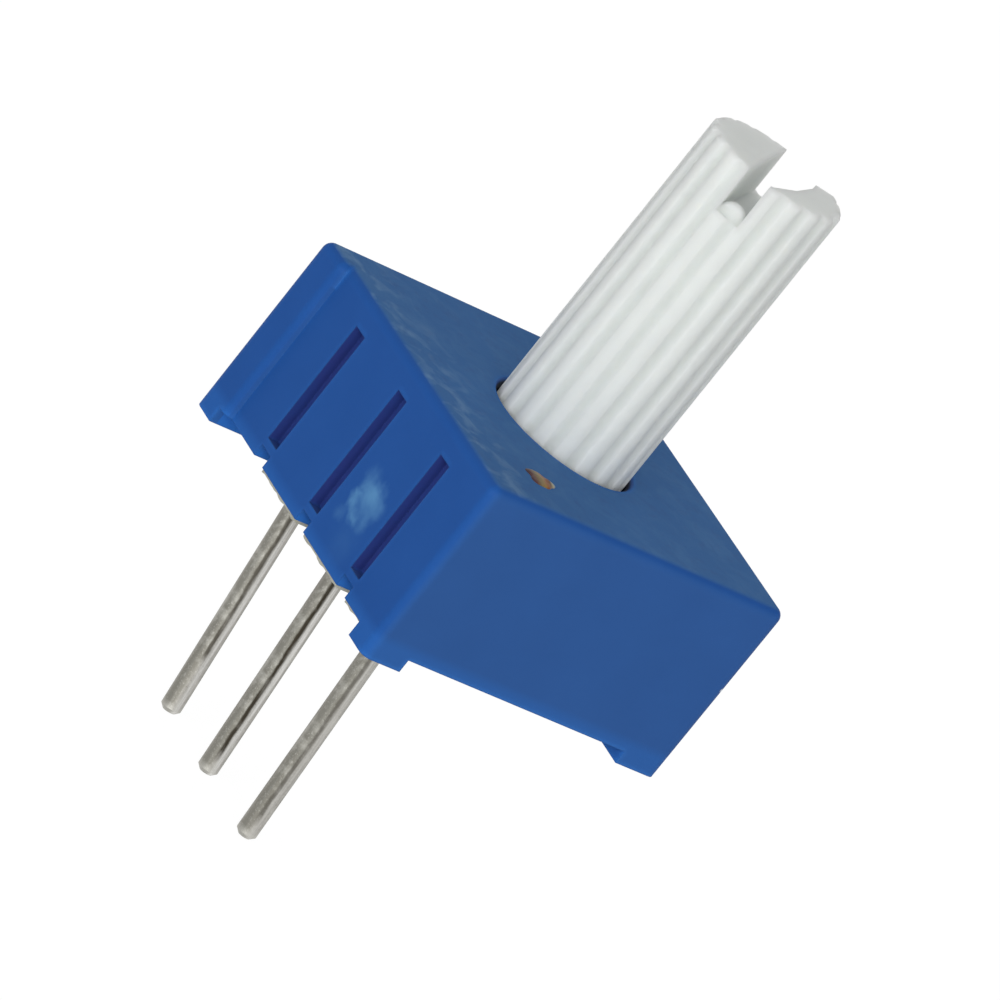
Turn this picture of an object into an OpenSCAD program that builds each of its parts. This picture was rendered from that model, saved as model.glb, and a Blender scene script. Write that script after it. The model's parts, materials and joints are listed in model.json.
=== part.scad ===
// Single-turn trimmer potentiometer in a square moulded housing, with a long
// splined and slotted shaft through the top and three wire leads below.
// Millimetres, +Z up the shaft. The origin is where the shaft axis meets the
// plane of the circuit board that the four feet stand on.

/* [Housing] */
// Width of the square housing, along X and along Y
body_w = 9.53; // [9.4:0.01:10.4]
// Height of the housing, from its feet to its top face
body_h = 4.96; // [4.5:0.01:5.8]
// How far the housing's middle lies from the shaft axis, along X
body_mid_x = -0.1; // [-0.2:0.01:0.2]
// How far the housing's middle lies from the shaft axis, along Y
body_mid_y = 0.27; // [-0.3:0.01:0.3]
// Radius of the rounded outside edges
edge_r = 0.25; // [0.1:0.01:0.35]
// Thickness of the walls round the base pocket
side_wall = 0.8; // [0.6:0.01:0.85]
// Thickness of the top wall
top_wall = 0.85; // [0.8:0.01:1.1]
// How far the side walls stop above the board
side_gap = 0.34; // [0.1:0.01:0.5]

/* [Lead side] */
// How far the panel is set back behind the band
panel_step = 0.2; // [0.05:0.01:0.25]
// Width of the band left standing beside the panel
band_w = 1.16; // [0.8:0.01:1.4]
// How far this wall stops above the board
lead_side_gap = 0.4; // [0.3:0.01:0.5]
// Width of each upright groove
groove_w = 0.48; // [0.3:0.01:0.6]
// Depth of each upright groove
groove_d = 0.32; // [0.1:0.01:0.35]
// Distance between the grooves
groove_pitch = 2.44; // [2:0.01:2.6]
// Shift of the middle groove along Y
groove_shift = -0.15; // [-0.3:0.01:0.3]
// Wall left above the grooves
groove_above = 0.69; // [0.5:0.01:1]
// Wall left below the grooves
groove_below = 0.53; // [0.4:0.01:0.7]
// Height of the notch under each groove
notch_h = 0.32; // [0.1:0.01:0.38]

/* [Feet] */
// Length along X of the two feet on the lead side
foot_lead_x = 1.35; // [0.8:0.01:1.6]
// Length along X of the two feet on the far side
foot_far_x = 1.3; // [0.8:0.01:1.6]
// Length of all four feet along Y
foot_y = 0.8; // [0.6:0.01:1]

/* [Shaft] */
// Diameter over the splines
shaft_d = 3.58; // [3.2:0.01:3.7]
// Length of the shaft above the top face
shaft_len = 7.92; // [5:0.01:12]
// Number of splines
spline_count = 18; // [14:1:20]
// Radius of the round flutes between the splines
flute_r = 0.15; // [0.1:0.01:0.17]
// Depth of the flutes
flute_d = 0.12; // [0.05:0.01:0.14]
// Turn of the flutes about the axis
flute_turn = 5; // [0:1:19]
// Chamfer at the end of the shaft
end_chamfer = 0.07; // [0.02:0.01:0.15]
// Width of the screwdriver slot
slot_w = 0.62; // [0.4:0.01:0.8]
// Depth of the screwdriver slot
slot_d = 1.2; // [0.8:0.01:1.5]
// Direction of the screwdriver slot, from +X
slot_turn = 41; // [0:1:90]

/* [Rotor] */
// Thickness of the rotor disc
disc_t = 1.1; // [0.8:0.01:1.15]
// Gap between the rotor disc and the top wall
disc_gap = 0.06; // [0.04:0.01:0.12]
// Clearance between the rotor disc and the stop lug, and round the stop tab
stop_gap = 0.12; // [0.08:0.01:0.2]
// How far the stop lug reaches in from the cavity wall
stop_reach = 0.5; // [0.4:0.01:0.6]
// Whole angle that the shaft can turn
turn_total = 310; // [280:1:320]
// Angle left between tab and lug at each end of the travel
stop_angle = 1; // [0.5:0.5:3]
// Radial clearance of the shaft in its bore
bore_gap = 0.05; // [0.02:0.01:0.09]
// How much wider the mouth of the bore is than the shaft, on the radius
mouth_gap = 0.16; // [0.1:0.01:0.25]
// Depth of the flared mouth
mouth_d = 0.12; // [0.05:0.01:0.2]

/* [Seal ring] */
// Thickness of the ring's round section
ring_t = 0.38; // [0.3:0.01:0.4]
// Gap left under the ring in its seat
ring_gap = 0.04; // [0.02:0.01:0.06]

/* [Element] */
// Height left for the wiper, from the films up to the rotor disc
wiper_room = 0.56; // [0.45:0.01:0.6]
// Thickness of the ceramic plate
plate_t = 0.8; // [0.6:0.01:0.9]
// Clearance round the edge of the ceramic plate
plate_gap = 0.05; // [0.03:0.01:0.1]
// Thickness of the printed films
film_t = 0.04; // [0.02:0.01:0.06]
// Radius of the middle of the resistive track
track_r = 1.95; // [1.8:0.01:2]
// Width of the resistive track
track_w = 0.7; // [0.5:0.01:0.8]
// Angle that the resistive track covers
track_angle = 280; // [260:1:290]
// Outer radius of the collector ring
collector_r = 1; // [0.9:0.01:1.05]
// Inner radius of the collector ring
collector_in_r = 0.6; // [0.5:0.01:0.7]
// Width of the conductors that lead to the leads
conductor_w = 0.7; // [0.5:0.01:0.9]

/* [Wiper] */
// Thickness of the wiper's spring sheet
wiper_t = 0.08; // [0.05:0.01:0.12]
// Radius of the wiper's middle
wiper_r = 1.15; // [1.1:0.01:1.25]
// Width of one spring finger
finger_w = 0.16; // [0.1:0.01:0.18]
// Distance between the outer fingers
finger_pitch = 0.22; // [0.2:0.01:0.25]
// Length of the fingers
finger_len = 0.95; // [0.8:0.01:1]
// Running gap between a finger tip and its track
contact_gap = 0.02; // [0.01:0.01:0.05]
// Width of the arm that carries the outer fingers
arm_w = 0.4; // [0.3:0.01:0.6]
// Radius of the stake that holds the wiper to the disc
stake_r = 0.3; // [0.2:0.01:0.33]
// How far the stake's head reaches past the stake
stake_lip = 0.15; // [0.05:0.01:0.2]
// Thickness of the stake's head
stake_t = 0.12; // [0.05:0.01:0.2]

/* [Leads] */
// Diameter of the lead wire
lead_d = 0.51; // [0.4:0.01:0.65]
// Distance between neighbouring leads
lead_pitch = 2.54; // [2.4:0.01:2.6]
// Distance from the pocket's wall to the row of leads
lead_inset = 1.015; // [0.95:0.005:1.05]
// Shift of the row of leads along Y
lead_shift = -0.08; // [-0.1:0.01:0.1]
// How far the leads reach below the board plane
lead_len = 5.76; // [3:0.01:12]
// Lean of lead 1 towards -Y, in degrees
lead_1_angle = 9.7; // [0:0.1:10]
// Lean of lead 2 towards -Y, in degrees
lead_2_angle = 7.1; // [0:0.1:10]
// Lean of lead 3 towards -Y, in degrees
lead_3_angle = 5.1; // [0:0.1:10]
// How much thicker the leads are in the plate and the potting, on the radius
shank_step = 0.04; // [0.03:0.01:0.08]
// How far the thicker length reaches below the potting
shank_below = 0.15; // [0.1:0.01:0.2]
// Clearance of the leads in the plate and in the potting
lead_gap = 0.01; // [0.005:0.005:0.03]
// Chamfer at the cut end of each lead
lead_chamfer = 0.1; // [0.02:0.01:0.2]
// Radius of the riveted head of each lead
head_r = 0.4; // [0.35:0.01:0.45]
// Thickness of the riveted head
head_t = 0.2; // [0.1:0.01:0.25]
// How far the solder spreads past the head
solder_w = 0.18; // [0.1:0.01:0.2]
// Height of the potting's lower face above the board
potting_z = 0.35; // [0.15:0.01:0.38]
// Thickness of the resin that has crept under the lead-side wall
lip_t = 0.07; // [0.03:0.01:0.1]

/* [Hidden] */
eps = 0.01;
// how far a cut runs past the face that it opens
over = 1;
// how deep a tab, a lug, a finger or a wire is rooted in what carries it
root = 0.1;
// clearance between pieces that are seated against each other
touch = 0.01;
curve = 64;
fine = 32;

// the housing's four sides
lead_x = body_mid_x - body_w / 2;
far_x = body_mid_x + body_w / 2;
near_y = body_mid_y - body_w / 2;
back_y = body_mid_y + body_w / 2;
panel_x = lead_x + panel_step;
band_root = 0.5;

// heights, from the top face down
ceiling = body_h - top_wall;
disc_top = ceiling - disc_gap;
disc_bottom = disc_top - disc_t;
film_top = disc_bottom - wiper_room;
plate_top = film_top - film_t;
plate_bottom = plate_top - plate_t;
shaft_top = body_h + shaft_len;

// radii about the shaft axis
shaft_r = shaft_d / 2;
bore_r = shaft_r + bore_gap;
mouth_r = shaft_r + mouth_gap;
// the round cavity stops a little short of the pocket's sides
cavity_step = 0.05;
cavity_r = body_w / 2 - max(abs(body_mid_x), abs(body_mid_y)) - side_wall - cavity_step;
lug_r = cavity_r - stop_reach;
disc_r = lug_r - stop_gap;
tab_r = cavity_r - stop_gap;
stop_half = (360 - turn_total) / 4 - stop_angle / 2;
ring_mid_r = bore_r + ring_t / 2;
ring_seat_r = bore_r + ring_t + touch;
ring_seat_d = ring_t + touch + ring_gap;

// leads, as [Y place, lean]
row_x = panel_x + side_wall + lead_inset;
lead_r = lead_d / 2;
leads = [
    [lead_shift + lead_pitch, lead_1_angle],
    [lead_shift, lead_2_angle],
    [lead_shift - lead_pitch, lead_3_angle]
];
shank_r = lead_r + shank_step;
lead_hole_r = shank_r + lead_gap;
head_draft = 0.08;
solder_drop = 0.04;
bend_z = potting_z - shank_below;
head_room = 0.12;
head_room_r = head_r + solder_w + head_room;
head_room_top = film_top + head_t + head_room;

// wiper, with its arm along +X: the finger tips run along the track's middle
finger_start = 0.15;
arm_r = sqrt(pow(track_r, 2) - pow(finger_len, 2));
collector_mid_r = (collector_r + collector_in_r) / 2;
inner_x = -sqrt(pow(collector_mid_r, 2) - pow(finger_len / 2, 2));
window_w = 0.5;
window_y = -0.35;

// the slot's end is partly blocked by a small bead of plastic
bead_r = 0.36;
bead_inset = 0.33;
bead_edge = 0.03;

// The chipped half of the shaft's end, as places [along the slot, across it] on
// the end face. The break starts a little below that face and slopes down.
chip = [
    [-1.75, 0], [-1.6, -0.35], [-0.52, -0.69], [0.53, -0.82], [0.98, -0.78],
    [1.22, -1.22], [2.2, -1.5], [2.2, 0]
];
chip_start = 0.15;
chip_angle = 24;
chip_d = slot_d - 0.05;

function groove_y(i) = groove_shift + (i - 1) * groove_pitch;

module rounded_block(x0, x1, y0, y1, z0, z1, r) {
    translate([x0 + r, y0, z0]) cube([x1 - x0 - 2 * r, y1 - y0, z1 - r - z0]);
    translate([x0, y0 + r, z0]) cube([x1 - x0, y1 - y0 - 2 * r, z1 - r - z0]);
    translate([x0 + r, y0 + r, z0]) cube([x1 - x0 - 2 * r, y1 - y0 - 2 * r, z1 - z0]);
    for (x = [x0 + r, x1 - r]) {
        for (y = [y0 + r, y1 - r]) {
            translate([x, y, z0]) cylinder(r = r, h = z1 - r - z0, $fn = fine);
            translate([x, y, z1 - r]) sphere(r = r, $fn = fine);
        }
        translate([x, y0 + r, z1 - r]) rotate([-90, 0, 0])
            cylinder(r = r, h = y1 - y0 - 2 * r, $fn = fine);
    }
    for (y = [y0 + r, y1 - r])
        translate([x0 + r, y, z1 - r]) rotate([0, 90, 0])
            cylinder(r = r, h = x1 - x0 - 2 * r, $fn = fine);
}

// a sector of a ring, centred on the angle a
module ring_sector(r_in, r_out, a, half, z0, z1) {
    rotate([0, 0, a - half])
        rotate_extrude(angle = 2 * half, $fn = curve)
            translate([r_in, z0]) square([r_out - r_in, z1 - z0]);
}

module housing_shell() {
    difference() {
        union() {
            rounded_block(panel_x, far_x, near_y, back_y, 0, body_h, edge_r);
            rounded_block(lead_x, panel_x + 2 * edge_r + band_root, back_y - band_w, back_y,
                0, body_h, edge_r);
        }
        housing_underside();
    }
}

// what is cut away between the feet, below the walls
module housing_underside() {
    translate([lead_x - over, near_y + foot_y, -over])
        cube([side_wall + panel_step + over + eps, body_w - 2 * foot_y, lead_side_gap + over]);
    translate([lead_x + foot_lead_x, near_y - over, -over])
        cube([body_w - foot_lead_x - foot_far_x, body_w + 2 * over, side_gap + over]);
    translate([far_x - side_wall - eps, near_y + foot_y, -over])
        cube([side_wall + over, body_w - 2 * foot_y, side_gap + over]);
}

module housing() {
    color([0.13, 0.3, 0.56]) {
        difference() {
            housing_shell();
            // round cavity for the rotor
            translate([0, 0, plate_top - eps])
                cylinder(r = cavity_r, h = ceiling - plate_top + eps, $fn = curve);
            // square pocket for the plate and the potting
            translate([panel_x + side_wall, near_y + side_wall, -over])
                cube([far_x - panel_x - 2 * side_wall, body_w - 2 * side_wall, plate_top + over]);
            // room for the heads of the leads
            for (lead = leads)
                translate([row_x, lead[0], plate_top - eps])
                    cylinder(r = head_room_r, h = head_room_top - plate_top, $fn = fine);
            // bore, its flared mouth and the seat of the seal ring
            translate([0, 0, ceiling - eps]) cylinder(r = bore_r, h = top_wall + over, $fn = curve);
            translate([0, 0, body_h - mouth_d])
                cylinder(r1 = bore_r, r2 = mouth_r, h = mouth_d + eps, $fn = curve);
            translate([0, 0, ceiling - eps])
                cylinder(r = ring_seat_r, h = ring_seat_d + eps, $fn = curve);
            // grooves, each with a notch under it
            for (i = [0:2])
                translate([panel_x - over, groove_y(i) - groove_w / 2, 0]) {
                    translate([0, 0, lead_side_gap + groove_below])
                        cube([over + groove_d, groove_w,
                            body_h - groove_above - lead_side_gap - groove_below]);
                    cube([over + side_wall + eps, groove_w, lead_side_gap + notch_h]);
                }
        }
        // stop lug
        ring_sector(lug_r, cavity_r + root, 180, stop_half, disc_bottom - root, ceiling + eps);
    }
}

module splined_shaft() {
    difference() {
        union() {
            translate([0, 0, disc_top - eps])
                cylinder(r = shaft_r, h = shaft_top - end_chamfer - disc_top + eps, $fn = curve);
            translate([0, 0, shaft_top - end_chamfer])
                cylinder(r1 = shaft_r, r2 = shaft_r - end_chamfer, h = end_chamfer, $fn = curve);
        }
        for (i = [0:spline_count - 1])
            rotate([0, 0, flute_turn + i * 360 / spline_count])
                translate([shaft_r - flute_d + flute_r, 0, body_h - mouth_d])
                    cylinder(r = flute_r, h = shaft_len + mouth_d + over, $fn = fine);
        // screwdriver slot
        rotate([0, 0, slot_turn]) translate([-shaft_d, -slot_w / 2, shaft_top - slot_d])
            cube([2 * shaft_d, slot_w, slot_d + over]);
        // chip
        rotate([0, 0, slot_turn]) intersection() {
            translate([0, 0, shaft_top - chip_d]) linear_extrude(chip_d + over) polygon(chip);
            translate([-shaft_r, -shaft_d, shaft_top - chip_start]) rotate([0, chip_angle, 0])
                cube([2 * shaft_d, 2 * shaft_d, slot_d + 2 * over]);
        }
    }
}

module rotor_shaft() {
    color([0.88, 0.89, 0.88]) {
        splined_shaft();
        // bead of plastic left in the slot
        intersection() {
            rotate([0, 0, slot_turn + 180]) translate([shaft_r - bead_inset, 0, shaft_top - slot_d])
                sphere(r = bead_r, $fn = fine);
            translate([0, 0, shaft_top - slot_d - root])
                cylinder(r = shaft_r - flute_d - bead_edge, h = slot_d, $fn = curve);
        }
        translate([0, 0, disc_bottom]) cylinder(r = disc_r, h = disc_t, $fn = curve);
        // stop tab, on the side that the wiper points to
        ring_sector(disc_r - root, tab_r, slot_turn, stop_half, disc_bottom, disc_top);
        // stake that holds the wiper
        translate([0, 0, disc_bottom - wiper_t]) cylinder(r = stake_r, h = wiper_t + eps, $fn = fine);
        translate([0, 0, disc_bottom - wiper_t - stake_t])
            cylinder(r1 = stake_r + stake_lip / 2, r2 = stake_r + stake_lip, h = stake_t, $fn = fine);
    }
}

module seal_ring() {
    color([0.12, 0.12, 0.12])
        translate([0, 0, ceiling + ring_gap + ring_t / 2])
            rotate_extrude($fn = curve)
                translate([ring_mid_r, 0]) circle(r = ring_t / 2, $fn = fine);
}

// a sprung finger that runs along +Y and drops to the height z_tip
module finger(z_root, z_tip) {
    drop = z_root - z_tip - finger_w / 2;
    slant = asin(drop / finger_len);
    rotate([-slant, 0, 0]) translate([-finger_w / 2, 0, 0]) cube([finger_w, finger_len, wiper_t]);
    translate([-finger_w / 2, finger_len * cos(slant), -drop]) rotate([0, 90, 0])
        cylinder(r = finger_w / 2, h = finger_w, $fn = fine);
}

module wiper_spring() {
    z_root = disc_bottom - wiper_t;
    z_tip = film_top + contact_gap;
    // the finger tips, not the arm, point the same way as the slot
    tip_lag = atan2(finger_len, arm_r);
    color([0.8, 0.68, 0.4]) rotate([0, 0, slot_turn - tip_lag]) {
        difference() {
            union() {
                translate([0, 0, z_root]) cylinder(r = wiper_r, h = wiper_t, $fn = curve);
                translate([0, finger_start - arm_w, z_root])
                    cube([arm_r + 1.5 * finger_pitch, arm_w, wiper_t]);
            }
            translate([0, 0, z_root - over]) cylinder(r = stake_r, h = 2 * over, $fn = fine);
            // window that the inner fingers are bent from
            translate([inner_x - window_w / 2, window_y, z_root - over])
                cube([window_w, finger_len - window_y, 2 * over]);
        }
        for (i = [-1:1])
            translate([arm_r + i * finger_pitch, finger_start - root, z_root]) finger(z_root, z_tip);
        for (side = [-1, 1])
            translate([inner_x + side * finger_pitch / 2, window_y - root, z_root])
                finger(z_root, z_tip);
    }
}

module ceramic_plate() {
    edge = side_wall + plate_gap;
    color([0.93, 0.92, 0.88]) difference() {
        translate([panel_x + edge, near_y + edge, plate_bottom])
            cube([far_x - panel_x - 2 * edge, body_w - 2 * edge, plate_t]);
        for (i = [0:2])
            lead_hole(i);
    }
}

module resistive_track() {
    color([0.15, 0.14, 0.14])
        ring_sector(track_r - track_w / 2, track_r + track_w / 2, 0, track_angle / 2, plate_top, film_top);
}

// a pad round the hole of lead i, with a conductor that runs to the place given
module conductor(i, to) {
    from = [row_x, leads[i][0]];
    translate([from[0], from[1], plate_top]) {
        cylinder(r = head_r + solder_w, h = film_t, $fn = fine);
        rotate([0, 0, atan2(to[1] - from[1], to[0] - from[0])])
            translate([0, -conductor_w / 2, 0]) cube([norm(to - from), conductor_w, film_t]);
    }
}

module lead_hole(i) {
    translate([row_x, leads[i][0], 0]) cylinder(r = lead_hole_r, h = body_h, $fn = fine);
}

module collector_film() {
    color([0.75, 0.74, 0.7]) difference() {
        union() {
            translate([0, 0, plate_top]) cylinder(r = collector_r, h = film_t, $fn = curve);
            conductor(1, [-collector_mid_r, 0]);
        }
        cylinder(r = collector_in_r, h = body_h, $fn = curve);
        lead_hole(1);
    }
}

// the film from one end of the track to lead i, on the side 1 or -1
module end_film(i, side) {
    half_angle = 8;
    pad_angle = side * (track_angle / 2 + half_angle);
    difference() {
        union() {
            ring_sector(track_r - track_w / 2, track_r + track_w / 2, pad_angle, half_angle,
                plate_top, film_top);
            conductor(i, track_r * [cos(pad_angle), sin(pad_angle)]);
        }
        ring_sector(0, track_r + track_w, 0, track_angle / 2, 0, body_h);
        lead_hole(i);
    }
}

module end_film_1() {
    color([0.75, 0.74, 0.7]) end_film(0, 1);
}

module end_film_3() {
    color([0.75, 0.74, 0.7]) end_film(2, -1);
}

// a lead: riveted head, upright shank, and a wire that leans below the potting
module lead(i) {
    lean = leads[i][1];
    wire_len = (lead_len + bend_z) / cos(lean);
    color([0.68, 0.67, 0.64]) translate([row_x, leads[i][0], 0]) {
        translate([0, 0, film_top]) cylinder(r1 = head_r, r2 = head_r - head_draft, h = head_t, $fn = fine);
        translate([0, 0, bend_z]) cylinder(r = shank_r, h = film_top + head_t / 2 - bend_z, $fn = fine);
        translate([0, 0, bend_z]) rotate([180 - lean, 0, 0])
            rotate_extrude($fn = fine)
                polygon([[0, -root], [lead_r, -root], [lead_r, wire_len - lead_chamfer],
                    [lead_r - lead_chamfer, wire_len], [0, wire_len]]);
    }
}

module lead_1() {
    lead(0);
}

module lead_2() {
    lead(1);
}

module lead_3() {
    lead(2);
}

// a ring of solder round the head of a lead
module solder(i) {
    color([0.78, 0.78, 0.76]) translate([row_x, leads[i][0], film_top]) difference() {
        cylinder(r1 = head_r + solder_w, r2 = head_r, h = head_t - solder_drop, $fn = fine);
        translate([0, 0, -eps]) cylinder(r = head_r + touch, h = head_t + over, $fn = fine);
    }
}

module solder_1() {
    solder(0);
}

module solder_2() {
    solder(1);
}

module solder_3() {
    solder(2);
}

// resin that fills the pocket under the plate and has crept under the lead side
module potting() {
    edge = side_wall + touch;
    lip_x = panel_x + lip_t;
    color([0.82, 0.74, 0.55]) {
        difference() {
            translate([panel_x + edge, near_y + edge, potting_z])
                cube([far_x - panel_x - 2 * edge, body_w - 2 * edge, plate_bottom - potting_z]);
            for (i = [0:2])
                lead_hole(i);
        }
        for (i = [0:1])
            translate([lip_x, groove_y(i) + groove_w / 2, lead_side_gap - lip_t])
                cube([side_wall + 2 * root, groove_pitch - groove_w, lip_t]);
    }
}

housing();
rotor_shaft();
seal_ring();
wiper_spring();
ceramic_plate();
resistive_track();
collector_film();
end_film_1();
end_film_3();
lead_1();
lead_2();
lead_3();
solder_1();
solder_2();
solder_3();
potting();
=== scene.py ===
# Dressing for a square trimmer potentiometer with a long splined shaft.
import json
import math

import bmesh
import bpy
from mathutils import Matrix, Vector, noise


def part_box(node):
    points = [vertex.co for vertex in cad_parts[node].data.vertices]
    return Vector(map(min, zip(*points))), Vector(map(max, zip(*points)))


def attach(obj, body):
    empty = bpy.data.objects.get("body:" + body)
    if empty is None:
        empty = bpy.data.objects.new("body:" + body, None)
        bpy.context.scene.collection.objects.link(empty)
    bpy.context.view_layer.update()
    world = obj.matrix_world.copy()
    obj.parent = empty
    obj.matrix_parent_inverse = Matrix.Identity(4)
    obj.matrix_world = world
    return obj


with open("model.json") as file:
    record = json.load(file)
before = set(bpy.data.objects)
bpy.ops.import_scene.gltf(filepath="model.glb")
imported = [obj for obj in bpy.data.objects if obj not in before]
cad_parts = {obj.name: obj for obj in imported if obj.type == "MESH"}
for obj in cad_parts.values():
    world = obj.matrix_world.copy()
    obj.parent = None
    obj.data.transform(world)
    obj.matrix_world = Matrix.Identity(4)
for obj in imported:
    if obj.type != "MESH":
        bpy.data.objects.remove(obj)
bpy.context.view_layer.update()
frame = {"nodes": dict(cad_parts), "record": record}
nodes = frame["nodes"]
mm = 0.001
print("frame loaded:", len(nodes), "nodes")


def linearColor(hexColor):
    channels = [int(hexColor[i:i + 2], 16) / 255 for i in (1, 3, 5)]
    return [c / 12.92 if c <= 0.04045 else ((c + 0.055) / 1.055) ** 2.4 for c in channels] + [1.0]


def addNode(tree, kind, settings=None, inputs=None):
    node = tree.nodes.new(kind)
    for name, value in (settings or {}).items():
        setattr(node, name, value)
    for socket, value in (inputs or {}).items():
        if isinstance(value, bpy.types.NodeSocket):
            tree.links.new(value, node.inputs[socket])
        else:
            node.inputs[socket].default_value = value
    return node


def newMaterial(name, surface):
    # a material with one Principled shader, its output and the object's own coordinates
    material = bpy.data.materials.new(name)
    material.use_nodes = True
    tree = material.node_tree
    tree.nodes.clear()
    shader = addNode(tree, "ShaderNodeBsdfPrincipled", inputs=surface)
    addNode(tree, "ShaderNodeOutputMaterial", inputs={"Surface": shader.outputs[0]})
    place = addNode(tree, "ShaderNodeTexCoord").outputs["Object"]
    return material, tree, shader, place


def setStops(ramp, tones):
    # a colour ramp's stops, from pairs of place and hex colour
    stops = ramp.color_ramp.elements
    while len(stops) < len(tones):
        stops.new(0.5)
    for stop, (position, tone) in zip(stops, tones):
        stop.position = position
        stop.color = linearColor(tone)


def dress(nodeName, material):
    slots = nodes[nodeName].data.materials
    slots.clear()
    slots.append(material)


# Places on the part that materials and added pieces share.
housingLow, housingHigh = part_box("housing")
topZ = housingHigh[2]
bandProud = 0.2  # mm, the band stands in front of the panel
panelX = housingLow[0] + bandProud * mm

# Blue thermoset, compression moulded: satin and hard, faintly mottled, a little
# brighter along its rounded edges as a painted highlight, greyer on top and on the plain side as
# painted sheen (with some dust there), paler in the low rims and notches as painted light, near
# black in the gap round the shaft as painted shade, and dark where the grooves hold dirt.
housingLook = {
    "roughness": 0.5,
    "specular": 0.07,
    # the moulding itself
    "blue": "#1c4b90",
    "blueLight": "#215299",
    "mottle": 1.6,  # mm across one mottle
    "grain": 0.12,  # mm across the moulded grain, coarser than the real one so that it shows
    "softEdge": 0.05,  # mm
    # the top: a greyer blue as painted sheen, with rubbed patches, specks and smudges
    "topRoughness": 0.8,
    # painted sheen: the top's greyer blue, chosen by the face pointing up
    "topSheenGrey": "#406a9c",
    "topSheenPale": "#4f78a4",
    "topDirt": "#425e89",
    "rub": 0.9,  # mm across the rubbed patches
    "speckle": 0.32,  # mm across the specks
    "smudge": "#6b8db0",
    "smudgeSize": 0.7,  # mm
    "smudgesFrom": (-2.6, -4.2),  # mm along X, from none to most
    # the painted highlight along the edges
    # painted highlight: the paler blue of the rounded edges, also used for the painted light on
    # the low rims and notches
    "edge": "#2c6cbe",
    "edgeHighlightWidth": 0.22,  # mm, the band of tone along an edge
    "edgeHighlightShare": 0.8,  # how much of the edge's colour shows
    "calmShare": 0.75,  # how much of that the grooves' edges lose
    # dust with painted sheen on the plain side, the scuff on the panel and the nick on an upright
    # edge
    # dust and painted sheen: the grey film on the faces pointing -Y
    "dustAndSheen": "#7f9f98",
    "nearDustAndSheen": 0.06,  # how much of the dust's colour shows
    "scuff": "#67a0c9",
    "scuffs": (  # mm along Y and up, radius, strength
        (-1.29, 2.29, 0.34, 0.6), (-1.6, 2.42, 0.3, 0.55), (-0.98, 2.02, 0.18, 0.6),
        (-1.07, 1.78, 0.18, 0.6), (-1.35, 1.63, 0.2, 0.45), (-1.88, 2.25, 0.25, 0.38),
        (-1.73, 1.97, 0.3, 0.3), (-1.79, 1.67, 0.2, 0.25), (-0.94, 1.44, 0.22, 0.2),
        (-1.07, 2.56, 0.3, 0.26), (-1.4, 1.95, 0.45, 0.26), (-1.66, 1.1, 0.5, 0.08)),
    "scuffSpread": 1.35,  # how far a patch of the scuff fades past its radius
    "scuffRagged": 0.3,  # mm across the ragged bits of the scuff's outline
    "scuffWarp": 0.36,  # mm, how far the outline wanders
    "nick": "#e7ebee",
    "nickAt": (4.55, -4.49, 2.64),  # mm
    "nickSize": 0.07,  # mm
    # painted light on the low rims and in the notches, lifting their shade
    "rimHeights": (0.74, 0.5),  # mm above the board, from none to palest
    "rimLightShare": 0.3,
    "notchLightGain": 2.3,  # how much more of the paler tone the notches show
    "notchDepth": 0.62,  # mm behind the panel's face, to the notches' middle
    # the grooves and the bore
    "rowHalf": 4.2,  # mm, the row of grooves and notches runs this far each way
    "grooveDark": "#284489",
    "groovePurple": "#353c80",
    "grooveDepth": 0.4,  # mm, the dirt lies no deeper
    "grooveTop": 0.6,  # mm below the top face
    "grooveFoot": 1.0,  # mm above the board, from here up the dirt is full
    # painted shade: the near black in the gap round the shaft
    "boreShade": "#0d1116",
    "boreMouth": 2.0,  # mm, radius of the dark gap of painted shade
}


def tonesOfTop(tree, look, place, rubbed):
    # a greyer blue on the top as painted sheen, with rubbed streaks and pale patches and fine
    # specks of dirt
    paleShare = addNode(tree, "ShaderNodeMapRange", inputs={
        0: rubbed.outputs["Fac"], 1: 0.45, 2: 0.72, 3: 0.0, 4: 0.55})
    rubbedBlue = addNode(tree, "ShaderNodeMix", {"data_type": "RGBA"}, {
        "Factor": paleShare.outputs[0], 6: linearColor(look["topSheenGrey"]),
        7: linearColor(look["topSheenPale"])})
    specks = addNode(tree, "ShaderNodeTexNoise", inputs={
        "Vector": place, "Scale": 1 / (look["speckle"] * mm), "Detail": 4.0, "Roughness": 0.7,
        "Distortion": 0.4})
    speckShare = addNode(tree, "ShaderNodeMapRange", inputs={
        0: specks.outputs["Fac"], 1: 0.52, 2: 0.7, 3: 0.0, 4: 0.4})
    return addNode(tree, "ShaderNodeMix", {"data_type": "RGBA"}, {
        "Factor": speckShare.outputs[0], 6: rubbedBlue.outputs[2],
        7: linearColor(look["topDirt"])})


def shareOfSmudges(tree, look, place, axes, isTop):
    # smudges on the top, thickest near the lead side
    start, most = look["smudgesFrom"]
    nearLeads = addNode(tree, "ShaderNodeMapRange", inputs={
        0: axes.outputs[0], 1: start * mm, 2: most * mm, 3: 0.0, 4: 0.75})
    smudges = addNode(tree, "ShaderNodeTexNoise", inputs={
        "Vector": place, "Scale": 1 / (look["smudgeSize"] * mm), "Detail": 3.0,
        "Roughness": 0.55, "Distortion": 0.5})
    share = addNode(tree, "ShaderNodeMapRange", inputs={
        0: smudges.outputs["Fac"], 1: 0.48, 2: 0.66})
    for limit in (nearLeads, isTop):
        share = addNode(tree, "ShaderNodeMath", {"operation": "MULTIPLY"}, {
            0: share.outputs[0], 1: limit.outputs[0]})
    return share


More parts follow.
